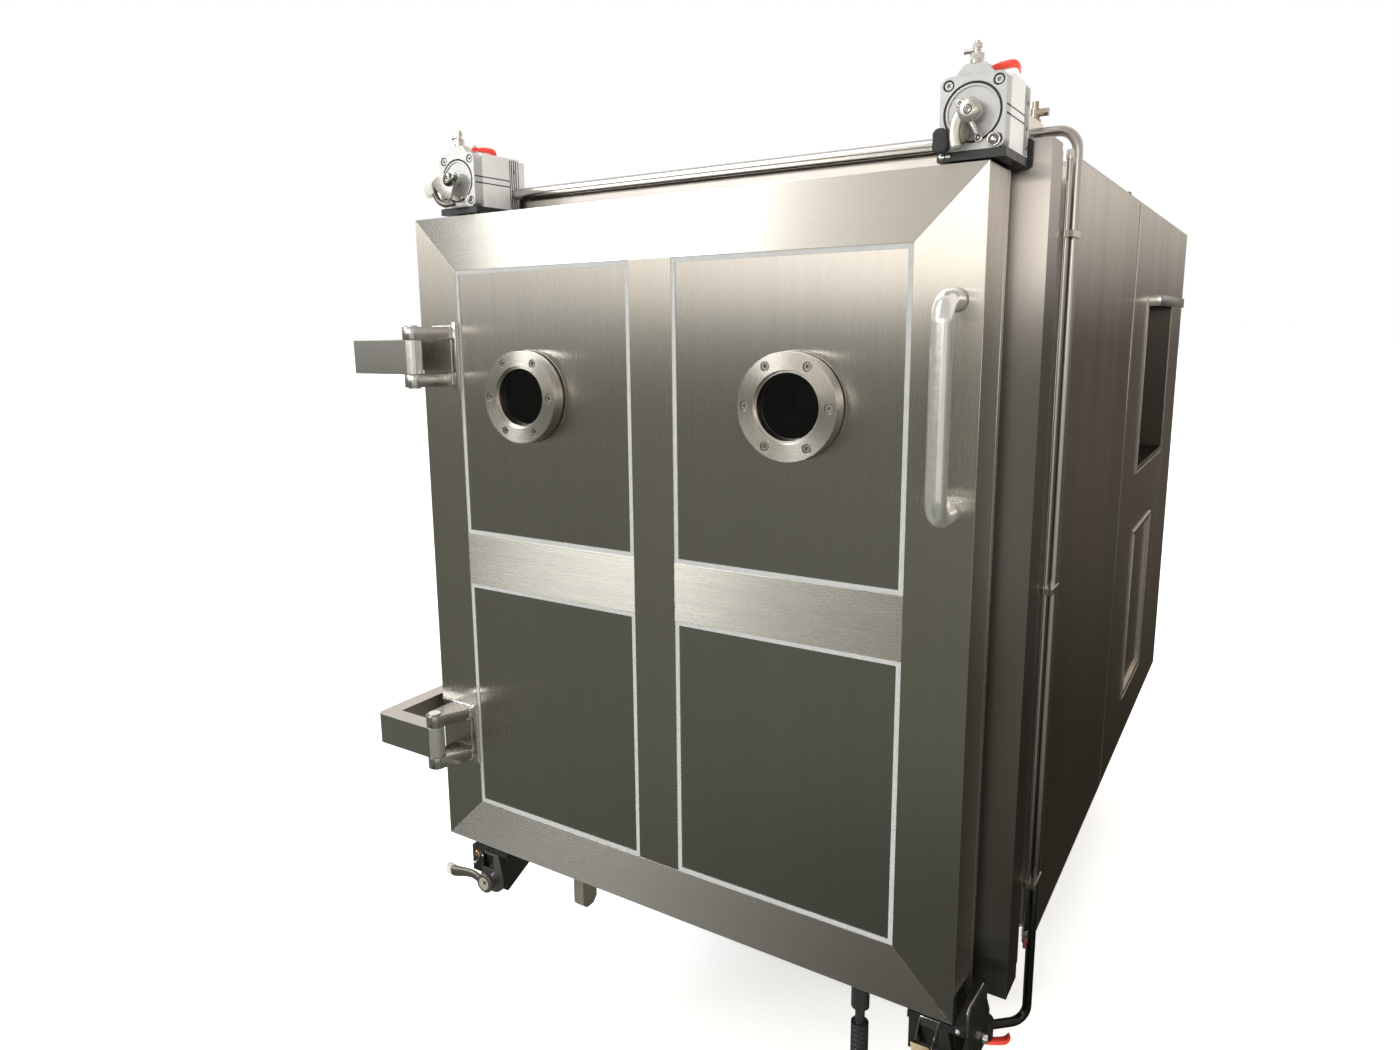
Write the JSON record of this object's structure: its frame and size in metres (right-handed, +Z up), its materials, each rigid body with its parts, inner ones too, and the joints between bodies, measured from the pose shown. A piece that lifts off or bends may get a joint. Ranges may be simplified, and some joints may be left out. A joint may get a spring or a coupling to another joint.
{
  "type": "freeze dryer",
  "caption": "Box-type freeze dryer with a square brushed-steel door on strap hinges, swing clamps at the corners, round sight glasses, a shelved chamber and an ice condenser on a stand.",
  "frame": {"origin": "middle of the bounding box's base, on the floor", "axes": "+Z up, the door faces -Y, +X to the right of someone who faces the door"},
  "size_m": [1.294, 2.238, 1.943],
  "materials": {
    "door_steel": "satin, brushed along each member",
    "panel_steel": "satin, brushed upright",
    "sealant": "matt pale grey sealant",
    "foam": "rigid insulating foam",
    "gasket_rubber": "matt",
    "polished_steel": "polished, fine turned marks",
    "screw_steel": "dull",
    "sight_glass": "polished, dark behind",
    "stand_steel": "satin",
    "vessel_steel": "fine satin",
    "frame_steel": "satin",
    "cladding_steel": "brushed upright",
    "black_paint": "semi-gloss black",
    "cast_aluminium": "bead-blasted",
    "dark_aluminium": "dark anodised",
    "rod_steel": "ground",
    "arm_steel": "cast and ground, rubber pad",
    "red_paint": "gloss red",
    "drain_steel": "dark",
    "lug_steel": "satin, rough sawn face"
  },
  "bodies": {
    "machine": {"stand_frame": "stand_steel", "levelling_feet": "stand_steel", "vessel_sides": "vessel_steel", "vessel_decks": "vessel_steel", "vessel_partition": "vessel_steel", "vessel_back_wall": "vessel_steel", "front_frame": "frame_steel", "neck_shroud": "frame_steel", "cladding_left": "cladding_steel", "cladding_right": "cladding_steel", "cladding_roof": "cladding_steel", "cladding_belly": "cladding_steel", "cladding_ends": "cladding_steel", "vessel_insulation": "foam", "shelves": "vessel_steel", "shelf_rack": "vessel_steel", "fluid_headers": "vessel_steel", "condenser_headers": "vessel_steel", "condenser_tubes": "vessel_steel", "service_recess": "cladding_steel", "hatch_cover": "cladding_steel", "hinge_arms": "polished_steel", "clamp_brackets": "black_paint", "clamp_body_upper_right": "cast_aluminium", "clamp_body_upper_left": "cast_aluminium", "clamp_body_lower_left": "dark_aluminium", "clamp_body_lower_right": "dark_aluminium", "air_pipes": "polished_steel", "pipe_fittings": "polished_steel", "drain_valve": "drain_steel", "bottom_lug": "lug_steel", "vacuum_port": "polished_steel"},
    "door": {"door_top_member": "door_steel", "door_bottom_member": "door_steel", "door_left_member": "door_steel", "door_right_member": "door_steel", "door_bars": "door_steel", "door_panels": "panel_steel", "panel_sealant": "sealant", "door_inner_plate": "door_steel", "door_insulation": "foam", "door_gasket": "gasket_rubber", "sight_necks": "polished_steel", "sight_rings": "polished_steel", "sight_glasses": "sight_glass", "sight_screws": "screw_steel", "door_handle": "polished_steel", "hinge_leaves": "polished_steel", "hinge_pins": "polished_steel"},
    "clamp_rod_upper_right": {"clamp_rod_upper_right": "rod_steel"},
    "clamp_rod_upper_left": {"clamp_rod_upper_left": "rod_steel"},
    "clamp_rod_lower_left": {"clamp_rod_lower_left": "rod_steel"},
    "clamp_rod_lower_right": {"clamp_rod_lower_right": "rod_steel"},
    "clamp_arm_upper_right": {"clamp_arm_upper_right": "arm_steel"},
    "clamp_arm_upper_left": {"clamp_arm_upper_left": "arm_steel"},
    "clamp_arm_lower_left": {"clamp_arm_lower_left": "arm_steel"},
    "clamp_arm_lower_right": {"clamp_arm_lower_right": "arm_steel"},
    "lever_upper_right": {"valve_lever_upper_right": "red_paint"},
    "lever_upper_left": {"valve_lever_upper_left": "red_paint"},
    "lever_lower_right": {"valve_lever_lower_right": "red_paint"}
  },
  "joints": [
    {"name": "door_swing", "type": "hinge", "parent": "machine", "child": "door", "pos_m": [-0.4905, -1.101, 1.137], "axis": [0, 0, -1], "range_deg": [0, 110]},
    {"name": "rod_draw_upper_right", "type": "slide", "parent": "machine", "child": "clamp_rod_upper_right", "axis": [0, 1, 0], "range_m": [-0.00517, 0.00703]},
    {"name": "arm_swing_upper_right", "type": "hinge", "parent": "clamp_rod_upper_right", "child": "clamp_arm_upper_right", "pos_m": [0.535, -1.051, 1.852], "axis": [0, -1, 0], "range_deg": [-38, 52]},
    {"name": "rod_draw_upper_left", "type": "slide", "parent": "machine", "child": "clamp_rod_upper_left", "axis": [0, 1, 0], "range_m": [-0.0021, 0.0101]},
    {"name": "arm_swing_upper_left", "type": "hinge", "parent": "clamp_rod_upper_left", "child": "clamp_arm_upper_left", "pos_m": [-0.42, -1.051, 1.852], "axis": [0, -1, 0], "range_deg": [-15, 75]},
    {"name": "rod_draw_lower_left", "type": "slide", "parent": "machine", "child": "clamp_rod_lower_left", "axis": [0, 1, 0], "range_m": [-0.00005, 0.0121]},
    {"name": "arm_swing_lower_left", "type": "hinge", "parent": "clamp_rod_lower_left", "child": "clamp_arm_lower_left", "pos_m": [-0.42, -1.051, 0.423], "axis": [0, 1, 0], "range_deg": [0, 90]},
    {"name": "rod_draw_lower_right", "type": "slide", "parent": "machine", "child": "clamp_rod_lower_right", "axis": [0, 1, 0], "range_m": [-0.00005, 0.0121]},
    {"name": "arm_swing_lower_right", "type": "hinge", "parent": "clamp_rod_lower_right", "child": "clamp_arm_lower_right", "pos_m": [0.535, -1.051, 0.423], "axis": [0, -1, 0], "range_deg": [0, 90]},
    {"name": "lever_turn_upper_right", "type": "hinge", "parent": "machine", "child": "lever_upper_right", "pos_m": [0.541, -0.986, 1.91], "axis": [0, 0, 1], "range_deg": [0, 90]},
    {"name": "lever_turn_upper_left", "type": "hinge", "parent": "machine", "child": "lever_upper_left", "pos_m": [-0.414, -0.986, 1.91], "axis": [0, 0, 1], "range_deg": [-90, 0]},
    {"name": "lever_turn_lower_right", "type": "hinge", "parent": "machine", "child": "lever_lower_right", "pos_m": [0.551, -0.8, 0.303], "axis": [0, 0, 1], "range_deg": [0, 90]}
  ],
  "couplings": [
    {"joint": "rod_draw_upper_right", "follows": "arm_swing_upper_right", "m_per_rad": 0.0076394},
    {"joint": "rod_draw_upper_left", "follows": "arm_swing_upper_left", "m_per_rad": 0.0076394},
    {"joint": "rod_draw_lower_left", "follows": "arm_swing_lower_left", "m_per_rad": 0.0076394},
    {"joint": "rod_draw_lower_right", "follows": "arm_swing_lower_right", "m_per_rad": 0.0076394}
  ]
}
